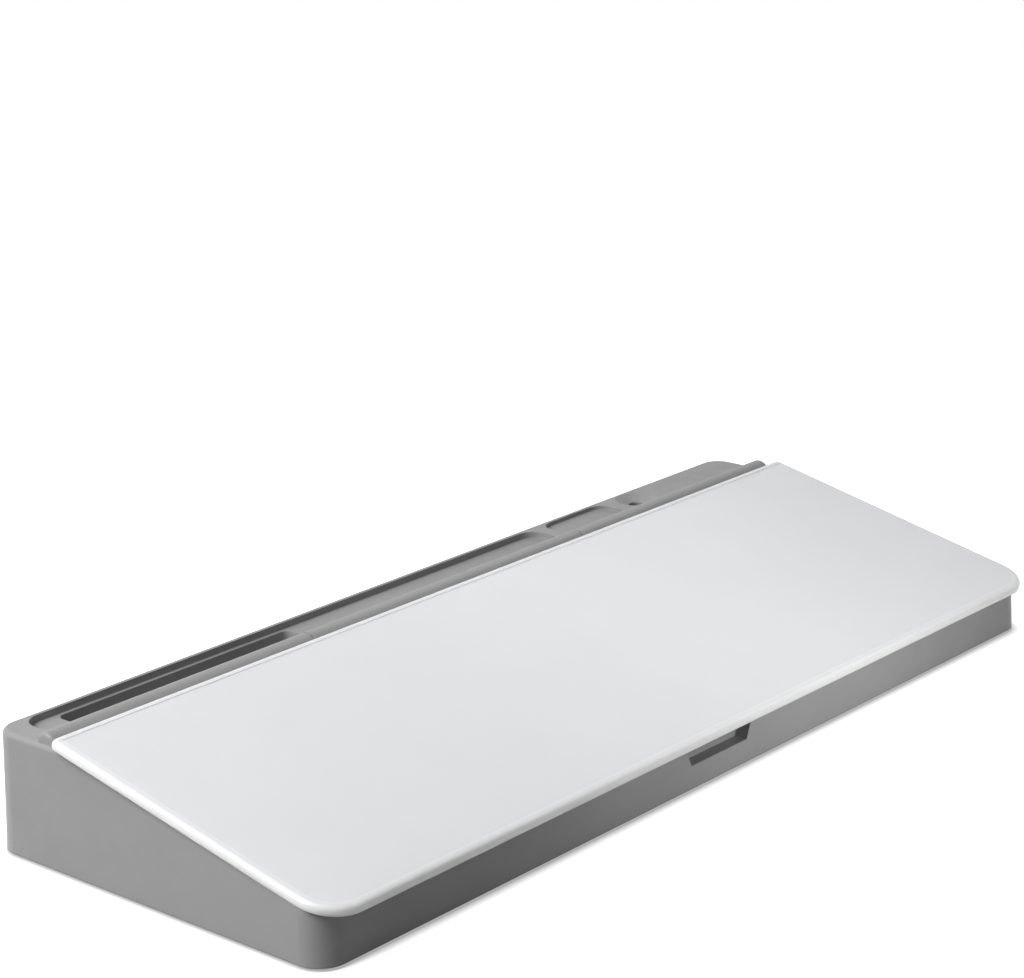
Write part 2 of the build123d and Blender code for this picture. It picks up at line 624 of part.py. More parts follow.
def marker_tube():
    """Barrel with a stepped neck that the cap slides over."""
    tube = rod_x(0, SHOULDER, MARKER_RADIUS)
    tube = fillet(tube.edges().filter_by(GeomType.CIRCLE), BARREL_TUBE_ROUND)
    tube += rod_x(SHOULDER, NECK_END, NECK_RADIUS)
    tube -= rod_x(0, SHOULDER - BARREL_TUBE_WALL, TUBE_BORE)
    return tube - rod_x(0, NECK_END, NECK_BORE)


def marker_plug():
    """Grooved coloured plug that closes the tail, with its flange and spigot."""
    knob = cone_x(-PLUG_LENGTH, 0, PLUG_END_RADIUS, PLUG_RADIUS)
    knob = fillet(knob.edges().sort_by(Axis.X)[0], PLUG_END_ROUND)
    for step in range(PLUG_GROOVES):
        angle = radians(360 * step / PLUG_GROOVES)
        knob -= rod_x(-PLUG_LENGTH, -PLUG_FLANGE, PLUG_GROOVE_RADIUS,
                      PLUG_RADIUS * cos(angle), PLUG_RADIUS * sin(angle))
    flange = rod_x(-PLUG_FLANGE, 0, MARKER_RADIUS + PLUG_FLANGE_PROUD)
    return knob + flange + rod_x(0, PLUG_SPIGOT, TUBE_BORE)


def nib_holder():
    """Cone on the neck that carries the nib."""
    spigot = rod_x(RESERVOIR_END, NECK_END, NECK_BORE)
    cone = cone_x(NECK_END, HOLDER_END, NECK_RADIUS, HOLDER_TIP)
    return cone + spigot - rod_x(RESERVOIR_END, HOLDER_END, NIB_RADIUS)


def nib():
    """Bullet nib."""
    bar = rod_x(RESERVOIR_END, HOLDER_END + NIB_SHOWS, NIB_RADIUS)
    return fillet(bar.edges().sort_by(Axis.X)[-1], NIB_TIP_ROUND)


def reservoir():
    """Ink-soaked core inside the barrel."""
    return rod_x(RESERVOIR_END - RESERVOIR_LENGTH, RESERVOIR_END, NECK_BORE - RESERVOIR_GAP)


def cap_section(x, width, height, rise):
    """Outline across the cap with round sides, at a place along it."""
    place = Plane(origin=(CAP_START + x, 0, rise), x_dir=(0, 1, 0), z_dir=(1, 0, 0))
    return place * RectangleRounded(width, height, (height - CAP_SECTION_FLAT) / 2)


def marker_cap():
    """Round socket that flows into a flat upturned paddle."""
    paddle = loft([
        cap_section(CAP_SOCKET_LENGTH, 2 * CAP_RADIUS, 2 * CAP_RADIUS, 0),
        cap_section(CAP_SOCKET_LENGTH + CAP_WAIST_FROM_SOCKET, CAP_WAIST_WIDTH,
                    CAP_WAIST_HEIGHT, CAP_WAIST_RISE),
        cap_section(CAP_LENGTH, CAP_PADDLE_WIDTH, CAP_PADDLE_HEIGHT, CAP_PADDLE_RISE)])
    paddle = fillet(paddle.faces().sort_by(Axis.X)[-1].edges(), CAP_PADDLE_ROUND)
    socket = rod_x(CAP_START, CAP_START + CAP_SOCKET_LENGTH, CAP_RADIUS)
    neck_room = NECK_RADIUS + CAP_CLEARANCE
    tip_room = HOLDER_TIP + CAP_CLEARANCE
    bore = rod_x(CAP_START, NECK_END + CAP_WALL, neck_room)
    bore += cone_x(NECK_END + CAP_WALL, HOLDER_END + CAP_WALL, neck_room, tip_room)
    bore += rod_x(HOLDER_END, HOLDER_END + NIB_SHOWS + CAP_WALL, tip_room)
    return socket + paddle - bore - cap_magnet(MAGNET_CLEARANCE, CAP_RADIUS)


def cap_magnet(grow=0.0, headroom=0.0):
    """Small disc magnet let into the top of the paddle, or the pocket that it drops into."""
    x = CAP_START + CAP_LENGTH - CAP_MAGNET_INSET
    top = CAP_PADDLE_RISE + CAP_PADDLE_HEIGHT / 2 - CAP_MAGNET_SINK + headroom
    height = CAP_MAGNET_HEIGHT + grow + headroom
    return Location((x, 0, top - height / 2)) * Cylinder(CAP_MAGNET_RADIUS + grow, height)


ERASER_X = CROSS_WALL_X - ERASER_WALL_GAP - ERASER_LENGTH / 2
ERASER_Y = back(TRAY_FRONT + ERASER_FRONT_GAP + ERASER_WIDTH / 2)
ERASER_PLACE = Location((ERASER_X, ERASER_Y, up(TRAY_FLOOR)))


def eraser_outline(inset=0.0):
    """Block outline with a round lobe at each corner and sides that draw in between them."""
    half = ERASER_LENGTH / 2 - inset
    wide = ERASER_WIDTH / 2 - inset
    lobe = [(half, ERASER_LOBE_BACK), (half - ERASER_LOBE_CORNER, wide - ERASER_LOBE_CORNER),
            (ERASER_LOBE_SIDE, wide)]
    points = [(half - ERASER_WAIST, 0)] + lobe + [(0, wide - ERASER_WAIST)]
    points += [(-x, y) for x, y in reversed(lobe)] + [(ERASER_WAIST - half, 0)]
    points += [(-x, -y) for x, y in lobe] + [(0, ERASER_WAIST - wide)]
    points += [(x, -y) for x, y in reversed(lobe)]
    return make_face(Spline(*points, periodic=True))


def eraser_shell():
    shell = extrude(eraser_outline(), ERASER_SHELL_HEIGHT)
    shell = fillet(shell.faces().sort_by(Axis.Z)[-1].edges(), ERASER_ROUND)
    shell -= eraser_magnet_blank(MAGNET_CLEARANCE)
    return ERASER_PLACE * Pos(0, 0, FELT_HEIGHT) * shell


def eraser_magnet_blank(grow=0.0):
    place = Location((0, 0, ERASER_MAGNET_HEIGHT / 2))
    return place * Cylinder(ERASER_MAGNET_RADIUS + grow, ERASER_MAGNET_HEIGHT + 2 * grow)


def eraser_magnet():
    return ERASER_PLACE * Pos(0, 0, FELT_HEIGHT) * eraser_magnet_blank()


def felt_pad():
    return ERASER_PLACE * extrude(eraser_outline(FELT_INSET), FELT_HEIGHT)


def in_tray(piece, index):
    """Marker piece laid in its place in the tray, with its cap end towards the cross wall."""
    tail = CROSS_WALL_X - MARKER_WALL_GAP[index] - CAP_LENGTH - CAP_START
    height = up(TRAY_FLOOR + MARKER_FLOOR_GAP + MARKER_RADIUS)
    return Pos(tail, back(MARKER_BACK[index]), height) * piece


PIECES = {
    "base_housing": base_housing,
    "bottom_cover": bottom_cover,
    "cover_screws": cover_screws,
    "rubber_feet": rubber_feet,
    "hinge_pins": hinge_pins,
    "hinge_plate": hinge_plate,
    "adhesive_tape": adhesive_tape,
    "steel_sheet": steel_sheet,
    "glass_panel": glass_panel,
    "eraser_shell": eraser_shell,
    "eraser_felt": felt_pad,
    "eraser_magnet": eraser_magnet,
}
MARKER_PIECES = {
    "barrel": marker_tube,
    "end_plug": marker_plug,
    "nib_holder": nib_holder,
    "nib": nib,
    "ink_reservoir": reservoir,
    "cap": marker_cap,
    "cap_magnet": cap_magnet,
}

for name, make in PIECES.items():
    made = make()
    piece = Compound(children=made) if isinstance(made, list) else made
    export_step(piece, f"parts/{name}.step")

for name, make in MARKER_PIECES.items():
    model = make()
    for index, colour in enumerate(MARKER_COLOURS):
        export_step(in_tray(model, index), f"parts/{colour}_marker_{name}.step")
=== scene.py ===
"""Finishes, soft pieces, stage and camera for a desk whiteboard on a storage base.

Metres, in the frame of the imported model: X along the board, -Y its low front edge, +Z up.
"""

import math

import bmesh
import bpy
from mathutils import Matrix, Quaternion, Vector


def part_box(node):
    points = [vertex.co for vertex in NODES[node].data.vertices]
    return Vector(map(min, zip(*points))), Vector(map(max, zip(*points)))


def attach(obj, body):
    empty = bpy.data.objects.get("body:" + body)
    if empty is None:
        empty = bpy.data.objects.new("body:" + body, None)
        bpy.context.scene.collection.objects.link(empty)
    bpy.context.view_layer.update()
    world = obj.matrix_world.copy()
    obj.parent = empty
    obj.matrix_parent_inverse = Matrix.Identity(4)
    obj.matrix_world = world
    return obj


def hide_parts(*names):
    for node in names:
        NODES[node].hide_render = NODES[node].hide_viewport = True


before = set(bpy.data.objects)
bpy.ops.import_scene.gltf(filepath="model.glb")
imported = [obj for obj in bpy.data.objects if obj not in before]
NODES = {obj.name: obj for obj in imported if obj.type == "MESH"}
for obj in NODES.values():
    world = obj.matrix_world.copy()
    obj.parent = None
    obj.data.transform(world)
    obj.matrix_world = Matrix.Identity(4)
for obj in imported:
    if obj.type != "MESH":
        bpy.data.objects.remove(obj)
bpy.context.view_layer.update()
MM = 0.001
MIX_COLOURS = (6, 7)              # the Mix node's two colour inputs, by index
MIX_RESULT = 2                    # and its colour output

# ---------------------------------------------------------------- camera, stage
CAMERA_TARGET = Vector((0.2165, 0.2110, 0.001))
CAMERA_DISTANCE = 1.3681
CAMERA_AZIMUTH = math.radians(-48.59)
CAMERA_ELEVATION = math.radians(16.98)
CAMERA_ROLL = math.radians(-1.33)
FILM_WIDTH = 36.0
FOCAL_LENGTH = 102.75
CAMERA_REACH = 50.0
FLOOR_SIZE = 12.0
FLOOR_DROP = 0.03 * MM            # keeps the floor clear of the feet's soles
FLOOR_PALE = (0.92, 0.92, 0.92)
FLOOR_BOUNCE = (0.10, 0.10, 0.10)
FLOOR_LIFT = 1.0                  # glow that keeps the bare floor white
FLOOR_FADE = (0.30, 0.60)         # distances between which the floor turns plain white
CONTACT_REACH = 5 * MM            # how far the painted contact shadow under the object reaches
# darkness of the painted contact shadow
CONTACT_SHADOW_DARK = 0.42
CONTACT_OPEN = (0.50, 0.95)       # open sky at which the painted contact shadow starts and ends
CONTACT_SAMPLES = 16
ROOM_LEVEL = 0.19
LEFT_SOFTBOX = {"spot": (-1.0, 0.35, 1.0), "aim": (0.0, 0.0, 0.02), "width": 0.8,
                "height": 0.8, "power": 20.5}
TOP_SOFTBOX = {"spot": (-0.2, 0.3, 1.6), "aim": (0.0, 0.0, 0.0), "width": 1.2,
               "height": 0.8, "power": 2.5}
FILL_SPOT = (0.16, -1.0, 0.14)
FILL_AIM = (0.072, -0.075, 0.03)
FILL_POWER = 31.5
FILL_SIZE = 0.12
FILL_CONE = math.radians(19.0)

# ----------------------------------------------------------- board, eraser, stripes
BOARD_SLOPE = math.radians(12.0)
BOARD_THICKNESS = 3.2 * MM
BOARD_FRONT_CORNER = 14.5 * MM
BOARD_REAR_CORNER = 3.2 * MM
BOARD_TOP_ROUND = 2.0 * MM        # polished round of the glass's upper edge
BOARD_UNDER_ROUND = 0.3 * MM
CORNER_SEGMENTS = 12
EDGE_LINE_INSET = 0.6 * MM        # painted highlight line where the polish meets the flat top
EDGE_LINE_WIDTH = 0.8 * MM
ERASER_LOBE = 10.0 * MM
ERASER_WAIST = 3.3 * MM
ERASER_RIM = 0.9 * MM
ERASER_SIDE_CUTS = 24             # points along each drawn-in side
FELT_INSET = 0.8 * MM
FELT_RIM = 0.7 * MM
PRINT_PROUD = 0.03 * MM           # printed film above the barrel
PRINT_THICKNESS = 0.05 * MM
STRIPE_START = 1.2 * MM
STRIPE_END = 72.0 * MM
STRIPE_ANGLES = (64.0, -8.0)      # degrees from the front, round the barrel
STRIPE_WIDTH = 3.5                # degrees
STRIPE_STEPS = 3
SHARP_ANGLE = math.radians(50.0)  # edges steeper than this stay crisp

# ---------------------------------------------------------------------- colours
MID_GREY = (0.312, 0.312, 0.312)
DARK_GREY = (0.155, 0.155, 0.158)
BOARD_WHITE = (0.782, 0.795, 0.818)
# painted highlight along the glass's arris
ARRIS_HIGHLIGHT = (0.830, 0.845, 0.868)
# painted light: paler colour of the glass edge, for the light carried inside it
LIT_GLASS_EDGE = (0.950, 0.962, 0.975)
ENAMEL_WHITE = (0.860, 0.880, 0.915)
ERASER_YELLOW = (0.965, 0.855, 0.004)
FELT_GREY = (0.030, 0.030, 0.034)
BARREL_BLACK = (0.006, 0.007, 0.010)
TAPE_GREY = (0.060, 0.060, 0.062)
RUBBER_BLACK = (0.022, 0.022, 0.023)
NIB_CREAM = (0.520, 0.500, 0.460)
HOLDER_WHITE = (0.720, 0.720, 0.700)
PRINT_WHITE = (0.820, 0.820, 0.800)
INK_DUST = (0.160, 0.160, 0.170)
GROUND_STEEL = (0.520, 0.520, 0.530)
ZINC_GREY = (0.400, 0.400, 0.410)
MAGNET_NICKEL = (0.600, 0.590, 0.570)
PURE_WHITE = (1.0, 1.0, 1.0, 1.0)
INK_COLOURS = {"red": (0.640, 0.032, 0.028),
               "blue": (0.008, 0.165, 0.780),
               "green": (0.090, 0.470, 0.140)}


# ---------------------------------------------------------- building finishes
def new_finish(name, colour, roughness, **shader_values):
    """A material with one colour and roughness, before any pattern is added."""
    material = bpy.data.materials.new(name)
    material.use_nodes = True
    shader = material.node_tree.nodes["Principled BSDF"]
    shader.inputs["Base Color"].default_value = (*colour, 1.0)
    shader.inputs["Roughness"].default_value = roughness
    for socket, value in shader_values.items():
        shader.inputs[socket.replace("_", " ")].default_value = value
    return material


def add(material, kind, sockets=None, **settings):
    """Adds a shader node; a socket takes a plain value or another node's output."""
    made = material.node_tree.nodes.new("ShaderNode" + kind)
    for name, value in settings.items():
        setattr(made, name, value)
    for name, value in (sockets or {}).items():
        if isinstance(value, bpy.types.NodeSocket):
            material.node_tree.links.new(value, made.inputs[name])
        else:
            made.inputs[name].default_value = value
    return made


def feed(material, output, socket):
    """Links an output to the shader."""
    shader = material.node_tree.nodes["Principled BSDF"]
    material.node_tree.links.new(output, shader.inputs[socket])


def place(material, stretch=(1.0, 1.0, 1.0)):
    """Position on the object, scaled along each axis."""
    spot = add(material, "TexCoord").outputs["Object"]
    return add(material, "Mapping", {"Vector": spot, "Scale": stretch}).outputs["Vector"]


def cloud(material, size, stretch=(1.0, 1.0, 1.0), detail=3.0):
    """Soft random pattern from 0 to 1, with lumps of the given size."""
    return add(material, "TexNoise", {"Vector": place(material, stretch), "Scale": 1.0 / size,
                                      "Detail": detail, "Roughness": 0.55}).outputs["Fac"]


def between(material, value, low, high, start=0.3, end=0.7):
    """Maps a pattern onto a range of numbers."""
    return add(material, "MapRange", {"Value": value, "From Min": start, "From Max": end,
                                      "To Min": low, "To Max": high}).outputs["Result"]


def two_tone(material, value, first, second, start=0.3, end=0.7):
    """Maps a pattern onto a blend of two colours."""
    ramp = add(material, "ValToRGB", {"Fac": value})
    for element, colour, spot in zip(ramp.color_ramp.elements, (first, second), (start, end)):
        element.color = (*colour, 1.0)
        element.position = spot
    return ramp.outputs["Color"]


def overlay(material, mask, under, over):
    """Lays one colour over another where the mask is 1."""
    mixed = add(material, "Mix", {"Factor": mask}, data_type="RGBA")
    for index, colour in zip(MIX_COLOURS, (under, over)):
        if isinstance(colour, bpy.types.NodeSocket):
            material.node_tree.links.new(colour, mixed.inputs[index])
        else:
            mixed.inputs[index].default_value = (*colour, 1.0)
    return mixed.outputs[MIX_RESULT]


def shade(colour, factor):
    """The same hue, lighter or darker."""
    return tuple(min(1.0, part * factor) for part in colour)


def rounded(material, radius):
    """Normal that runs softly round every edge."""
    return add(material, "Bevel", {"Radius": radius}, samples=4).outputs["Normal"]


def edge_mask(material, soft_normal, strength):
    """The given strength along sharp edges and 0 on flat faces."""
    flat = add(material, "NewGeometry").outputs["True Normal"]
    facing = add(material, "VectorMath", operation="DOT_PRODUCT")
    material.node_tree.links.new(soft_normal, facing.inputs[0])
    material.node_tree.links.new(flat, facing.inputs[1])
    return between(material, facing.outputs["Value"], strength, 0.0, start=0.72, end=0.97)


def pores(material, size):
    """Distance from the middle of the nearest pore."""
    return add(material, "TexVoronoi", {"Vector": place(material),
                                        "Scale": 1.0 / size}).outputs["Distance"]


def vary_roughness(material, pattern, low, high):
    """Lets the polish follow a pattern."""
    feed(material, between(material, pattern, low, high), "Roughness")


def raise_surface(material, pattern, height, below=None):
    """Raises the surface by a pattern, on top of a softened normal where one is given."""
    sockets = {"Height": pattern, "Distance": height, "Strength": 1.0}
    if below is not None:
        sockets["Normal"] = below
    feed(material, add(material, "Bump", sockets).outputs["Normal"], "Normal")


# --------------------------------------------------------------- shaping meshes
def flat_block(width, depth, corners):
    """Flat outline on the XY plane; corners gives the radius of a corner vertex."""
    shape = bmesh.new()
    bmesh.ops.create_grid(shape, x_segments=1, y_segments=1, size=0.5)
    bmesh.ops.scale(shape, vec=(width, depth, 1.0), verts=shape.verts)
    for corner in list(shape.verts):
        bmesh.ops.bevel(shape, geom=[corner], offset=corners(corner.co),
                        segments=CORNER_SEGMENTS, profile=0.5, affect="VERTICES", material=-1)
    return shape


def thicken(shape, thickness):
    """Draws a flat outline up into a block."""
    grown = bmesh.ops.extrude_face_region(shape, geom=list(shape.faces))
    risen = [part for part in grown["geom"] if isinstance(part, bmesh.types.BMVert)]
    bmesh.ops.translate(shape, vec=(0.0, 0.0, thickness), verts=risen)
    bmesh.ops.recalc_face_normals(shape, faces=shape.faces)


def round_rim(shape, height, radius, segments):
    """Rounds the edges that lie at one height."""
    rim = [edge for edge in shape.edges
           if all(abs(vert.co.z - height) < 0.01 * MM for vert in edge.verts)]
    bmesh.ops.bevel(shape, geom=rim, offset=radius, segments=segments, profile=0.5,
                    affect="EDGES", material=-1)


def top_face(shape):
    """The broad face on top."""
    return max((face for face in shape.faces if face.normal.z > 0.9),
               key=lambda face: face.calc_area())


def finish_piece(name, shape, finishes, body, replaced=()):
    """Makes a bmesh a piece of the object that rides on a body."""
    mesh = bpy.data.meshes.new(name)
    for face in shape.faces:
        face.smooth = True
    shape.to_mesh(mesh)
    shape.free()
    mesh.set_sharp_from_angle(angle=SHARP_ANGLE)
    for finish in finishes:
        mesh.materials.append(finish)
    made = bpy.data.objects.new(name, mesh)
    bpy.context.scene.collection.objects.link(made)
    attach(made, body)
    if replaced:
        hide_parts(*replaced)


# --------------------------------------------------------------------- pieces
def make_glass():
    """Writing glass whose polished edge shows the light carried inside it."""
    low, high = (Vector(corner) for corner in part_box("glass_panel"))
    width = high.x - low.x
    depth = ((high.y - low.y - BOARD_THICKNESS * math.sin(BOARD_SLOPE))
             / math.cos(BOARD_SLOPE))
    shape = flat_block(width, depth, lambda spot: BOARD_FRONT_CORNER if spot.y < 0
                       else BOARD_REAR_CORNER)
    thicken(shape, BOARD_THICKNESS)
    round_rim(shape, BOARD_THICKNESS, BOARD_TOP_ROUND, segments=6)
    round_rim(shape, 0.0, BOARD_UNDER_ROUND, segments=2)
    top = top_face(shape)
    bmesh.ops.inset_region(shape, faces=[top], thickness=EDGE_LINE_INSET)
    # this ring of faces takes a paler colour: a painted highlight
    line = bmesh.ops.inset_region(shape, faces=[top], thickness=EDGE_LINE_WIDTH)
    for face in line["faces"]:
        face.material_index = 1
    foot = Vector((0.0, low.y + BOARD_THICKNESS * math.sin(BOARD_SLOPE), low.z))
    lay = (Matrix.Translation(foot) @ Matrix.Rotation(BOARD_SLOPE, 4, "X")
           @ Matrix.Translation((0.0, depth / 2, 0.0)))
    bmesh.ops.transform(shape, matrix=lay, verts=shape.verts)
    finish_piece("writing_glass", shape,
                 (white_glass("white_glass", BOARD_WHITE), white_glass("arris_highlight", ARRIS_HIGHLIGHT)),
                 "lid", ("glass_panel",))


def lobed_block(node, inset, rim):
    """Block with a round lobe at each corner, whose sides draw in between them."""
    low, high = (Vector(corner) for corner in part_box(node))
    lobe = ERASER_LOBE - inset
    shape = flat_block(high.x - low.x, high.y - low.y, lambda spot: lobe)
    straight = [edge for edge in shape.edges if edge.calc_length() > lobe]
    bmesh.ops.subdivide_edges(shape, edges=straight, cuts=ERASER_SIDE_CUTS)
    reach = (high - low) / 2 - Vector((lobe, lobe, 0.0))
    for vert in shape.verts:
        across, along = vert.co.x, vert.co.y
        if abs(along) < reach.y:
            vert.co.x -= math.copysign(ERASER_WAIST, across) * math.cos(
                math.pi * along / reach.y / 2) ** 2
        elif abs(across) < reach.x:
            vert.co.y -= math.copysign(ERASER_WAIST, along) * math.cos(
                math.pi * across / reach.x / 2) ** 2
    height = high.z - low.z
    thicken(shape, height)
    round_rim(shape, height, rim, segments=4)
    round_rim(shape, 0.0, rim / 2, segments=2)
    middle = Vector(((low.x + high.x) / 2, (low.y + high.y) / 2, low.z))
    bmesh.ops.translate(shape, vec=middle, verts=shape.verts)
    return shape


def make_eraser():
    """Foam grip over a pressed felt pad."""
    foam = lobed_block("eraser_shell", 0.0, ERASER_RIM)
    finish_piece("eraser_foam", foam, (soft_foam("yellow_foam", ERASER_YELLOW),),
                 "base", ("eraser_shell",))
    pad = lobed_block("eraser_felt", FELT_INSET, FELT_RIM)
    finish_piece("eraser_felt_pad", pad, (pressed_felt("pressed_felt"),),
                 "base", ("eraser_felt",))


def make_stripes(colour, print_film):
    """Pinstripes printed along a barrel."""
    low, high = (Vector(corner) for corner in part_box(f"{colour}_marker_barrel"))
    radius = (high.z - low.z) / 2 + PRINT_PROUD
    shape = bmesh.new()
    for angle in STRIPE_ANGLES:
        heading = Matrix.Rotation(math.radians(-angle), 4, "X")
        ends = [shape.verts.new(heading @ Vector((x, -radius, 0.0)))
                for x in (STRIPE_START, STRIPE_END)]
        edge = shape.edges.new(ends)
        bmesh.ops.spin(shape, geom=ends + [edge], angle=math.radians(-STRIPE_WIDTH),
                       steps=STRIPE_STEPS, axis=(1.0, 0.0, 0.0), cent=(0.0, 0.0, 0.0))
    bmesh.ops.solidify(shape, geom=list(shape.faces), thickness=PRINT_THICKNESS)
    bmesh.ops.recalc_face_normals(shape, faces=shape.faces)
    bmesh.ops.translate(shape, vec=(low.x, (low.y + high.y) / 2, (low.z + high.z) / 2),
                        verts=shape.verts)
    finish_piece(f"{colour}_marker_stripes", shape, (print_film,),
                 f"{colour}_marker")


# ------------------------------------------------------------------- finishes
def moulded_plastic(name, colour, roughness, grain_height, edge, **shader_values):
    """Spark-textured moulding: fine grain, faint flow clouds, and sharp edges made paler as a
    painted highlight.
    """
    material = new_finish(name, colour, roughness, **shader_values)
    soft = rounded(material, edge)
    flow = cloud(material, 38 * MM, detail=2.0)
    speck = cloud(material, 0.45 * MM)
    body = two_tone(material, flow, shade(colour, 0.965), shade(colour, 1.035))
    speckled = overlay(material, between(material, speck, 0.0, 0.16), body, shade(colour, 0.7))
    # painted highlight: sharp edges are painted paler
    edge_highlit = overlay(material, edge_mask(material, soft, 0.55), speckled, shade(colour, 1.25))
    feed(material, edge_highlit, "Base Color")
    vary_roughness(material, cloud(material, 6 * MM), roughness - 0.06, roughness + 0.06)
    raise_surface(material, speck, grain_height, soft)
    return material


def glossy_plastic(name, colour, roughness, **shader_values):
    """Polished moulding with faint sink ripples, handling haze and hairline scuffs."""
    material = new_finish(name, colour, roughness, **shader_values)
    body = two_tone(material, cloud(material, 9 * MM, detail=2.0), shade(colour, 0.95),
                    shade(colour, 1.05))
    scuff = cloud(material, 0.8 * MM, (0.08, 1.0, 1.0), detail=5.0)
    scuffed = between(material, scuff, 0.0, 0.10, start=0.62, end=0.78)
    feed(material, overlay(material, scuffed, body, shade(colour, 1.8)), "Base Color")
    haze = cloud(material, 4.0 * MM, detail=4.0)
    vary_roughness(material, haze, roughness - 0.04, roughness + 0.07)
    ripple = cloud(material, 7.0 * MM, detail=1.0)
    raise_surface(material, ripple, 0.02 * MM)
    return material


def white_glass(name, colour):
    """Back-painted glass: clear gloss over white, with painted light making the polished edge
    paler, for the glow carried inside the glass.
    """
    material = new_finish(name, colour, 0.14, Coat_Weight=0.5, Coat_Roughness=0.04,
                          Subsurface_Weight=1.0, Subsurface_Scale=5 * MM,
                          Subsurface_Radius=(1.0, 1.0, 1.0))
    facing = add(material, "TexCoord").outputs["Normal"]
    upright = add(material, "SeparateXYZ", {"Vector": facing}).outputs["Z"]
    steep = add(material, "Math", {0: upright}, operation="ABSOLUTE").outputs["Value"]
    # steep edge faces take the paler colour: painted light for the glow inside the glass
    edge = between(material, steep, 1.0, 0.0, start=0.70, end=0.97)
    paint = two_tone(material, cloud(material, 60 * MM, detail=2.0), shade(colour, 0.985),
                     shade(colour, 1.012))
    feed(material, overlay(material, edge, paint, LIT_GLASS_EDGE), "Base Color")
    wiped = cloud(material, 11 * MM, (1.0, 6.0, 1.0), detail=5.0)
    vary_roughness(material, wiped, 0.10, 0.18)
    ripple = cloud(material, 45 * MM, detail=1.0)
    raise_surface(material, ripple, 0.012 * MM)
    return material


def enamelled_steel(name):
    """White stove enamel with fine orange peel."""
    material = new_finish(name, ENAMEL_WHITE, 0.22, Coat_Weight=0.3, Coat_Roughness=0.1)
    tone = two_tone(material, cloud(material, 90 * MM), shade(ENAMEL_WHITE, 0.985),
                    shade(ENAMEL_WHITE, 1.01))
    feed(material, tone, "Base Color")
    vary_roughness(material, cloud(material, 30 * MM), 0.19, 0.26)
    peel = cloud(material, 2.5 * MM, detail=2.0)
    raise_surface(material, peel, 0.006 * MM)
    return material


def turned_steel(name, colour, roughness):
    """Bare steel with fine tool marks and a slightly uneven polish."""
    material = new_finish(name, colour, roughness, Metallic=1.0)
    marks = cloud(material, 0.3 * MM, (5.0, 1.0, 1.0), detail=4.0)
    tone = two_tone(material, cloud(material, 2.5 * MM), shade(colour, 0.85), shade(colour, 1.1))
    feed(material, tone, "Base Color")
    vary_roughness(material, marks, roughness - 0.08, roughness + 0.12)
    raise_surface(material, marks, 0.006 * MM, rounded(material, 0.15 * MM))
    return material


def soft_foam(name, colour):
    """Closed-cell foam with a sealed skin: faint pores darkened with painted shade, and a soft
    shine.
    """
    material = new_finish(name, colour, 0.42, Specular_IOR_Level=0.25)
    tone = two_tone(material, cloud(material, 14 * MM), shade(colour, 0.95), shade(colour, 1.04))
    cells = pores(material, 0.7 * MM)
    # painted shade: the middle of each pore is darker
    pore_shade = between(material, cells, 0.12, 0.0, start=0.05, end=0.45)
    feed(material, overlay(material, pore_shade, tone, shade(colour, 0.6)), "Base Color")
    vary_roughness(material, cloud(material, 4 * MM), 0.36, 0.5)
    raise_surface(material, cells, 0.03 * MM)
    return material


def pressed_felt(name):
    """Dense dark felt: tangled fibres, lint and dry ink dust."""
    material = new_finish(name, FELT_GREY, 0.95, Sheen_Weight=0.6, Sheen_Roughness=0.6)
    fibres = cloud(material, 0.35 * MM, (1.0, 1.0, 4.0), detail=5.0)
    lint = cloud(material, 1.6 * MM, detail=4.0)
    tone = two_tone(material, fibres, shade(FELT_GREY, 0.6), shade(FELT_GREY, 2.4))
    dust = between(material, lint, 0.0, 0.35, start=0.55, end=0.8)
    feed(material, overlay(material, dust, tone, INK_DUST), "Base Color")
    raise_surface(material, fibres, 0.12 * MM)
    return material


def foam_tape(name):
    """Closed-cell acrylic tape with open pores along its cut edge."""
    material = new_finish(name, TAPE_GREY, 0.8)
    cells = pores(material, 0.4 * MM)
    tone = two_tone(material, cells, shade(TAPE_GREY, 1.3), shade(TAPE_GREY, 0.6))
    feed(material, tone, "Base Color")
    raise_surface(material, cells, 0.05 * MM)
    return material


def foot_rubber(name):
    """Soft rubber with moulded bloom and fine tooth."""
    material = new_finish(name, RUBBER_BLACK, 0.75)
    bloom = cloud(material, 3 * MM, detail=4.0)
    tone = two_tone(material, bloom, RUBBER_BLACK, shade(RUBBER_BLACK, 1.9))
    feed(material, tone, "Base Color")
    vary_roughness(material, bloom, 0.68, 0.85)
    tooth = cloud(material, 0.25 * MM)
    raise_surface(material, tooth, 0.03 * MM, rounded(material, 0.3 * MM))
    return material


def fibre_nib(name, colour):
    """Bonded fibre that ink has wicked through."""
    material = new_finish(name, colour, 0.85)
    strands = cloud(material, 0.22 * MM, (0.2, 1.0, 1.0), detail=4.0)
    feed(material, two_tone(material, strands, shade(colour, 0.6), shade(colour, 1.3)),
         "Base Color")
    raise_surface(material, strands, 0.05 * MM)
    return material


# -------------------------------------------------------------------- dressing
def dress(node, material):
    """Gives a CAD node its finish in every slot."""
    dressed = NODES[node]
    if not dressed.material_slots:
        dressed.data.materials.append(material)
    for slot in dressed.material_slots:
        slot.material = material


